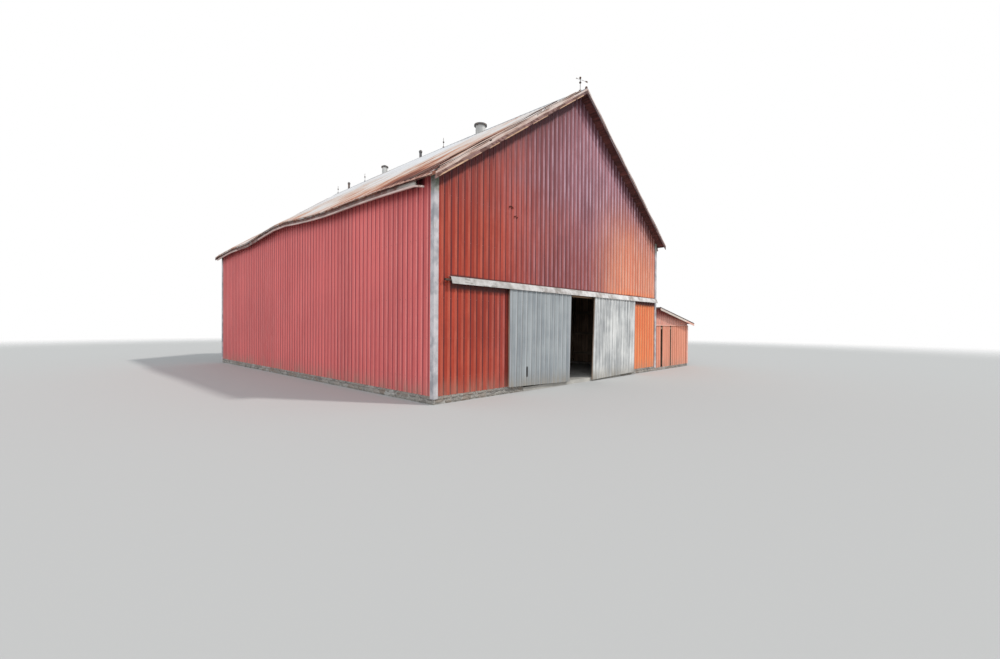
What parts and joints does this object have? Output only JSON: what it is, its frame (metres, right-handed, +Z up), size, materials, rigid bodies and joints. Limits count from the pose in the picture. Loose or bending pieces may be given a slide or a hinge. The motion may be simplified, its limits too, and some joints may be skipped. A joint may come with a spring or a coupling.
{
  "type": "barn",
  "caption": "Gable barn in ribbed red metal siding, with a warped metal roof, hooded sliding front doors, ridge ventilators and a small lean-to",
  "frame": {"origin": "on the ground under the middle of the barn's plan, on the underside of the floor slab", "axes": "+X to the right seen from the front, towards the lean-to; +Y from the front gable along the ridge to the back; +Z up; the sliding doors face -Y"},
  "size_m": [16.9333, 18.32, 10.6699],
  "materials": {
    "concrete": "rough, weathered",
    "stone": "rough",
    "red_siding": "satin, faded",
    "white_trim": "matte, weathered",
    "door_metal": "satin, weathered",
    "timber": "rough sawn",
    "roof_metal": "weathered, rusting",
    "galvanised": "dull galvanised",
    "dark_iron": "weathered",
    "orange_siding": "matte, faded"
  },
  "bodies": {
    "barn": {"floor_slab": "concrete", "footings": "stone", "threshold": "stone", "front_wall_left": "red_siding", "front_wall_right": "red_siding", "front_gable": "red_siding", "left_side_wall": "red_siding", "right_side_wall": "red_siding", "back_wall": "red_siding", "corner_boards": "white_trim", "door_header": "timber", "frame_posts": "timber", "tie_beams": "timber", "knee_braces": "timber", "queen_posts": "timber", "purlins": "timber", "wall_plates": "timber", "side_girts": "timber", "end_girts": "timber", "rafters": "timber", "roof_left": "roof_metal", "roof_right": "roof_metal", "ridge_cap": "galvanised", "rake_boards": "timber", "eave_fascia": "white_trim", "gutters": "white_trim", "ventilators": "galvanised", "lightning_rods": "dark_iron", "door_track": "dark_iron", "track_hood": "white_trim", "shed_footing": "stone", "shed_front_upper": "orange_siding", "shed_front_panels": "orange_siding", "shed_side_wall": "red_siding", "shed_back_wall": "red_siding", "shed_frame": "timber", "shed_roof": "roof_metal", "shed_trim": "white_trim"},
    "left_leaf": {"left_door": "door_metal", "left_door_frame": "timber", "left_door_hangers": "dark_iron"},
    "right_leaf": {"right_door": "door_metal", "right_door_frame": "timber", "right_door_hangers": "dark_iron"},
    "vane": {"wind_vane": "dark_iron"}
  },
  "joints": [
    {"name": "left_door_slide", "type": "slide", "parent": "barn", "child": "left_leaf", "axis": [-1, 0, 0], "range_m": [-0.689, 2.05]},
    {"name": "right_door_slide", "type": "slide", "parent": "barn", "child": "right_leaf", "axis": [1, 0, 0], "range_m": [-0.769, 1.98]},
    {"name": "vane_spin", "type": "hinge", "parent": "barn", "child": "vane", "pos_m": [0, -8.86, 10.5], "axis": [0, 0, 1], "continuous": true}
  ]
}
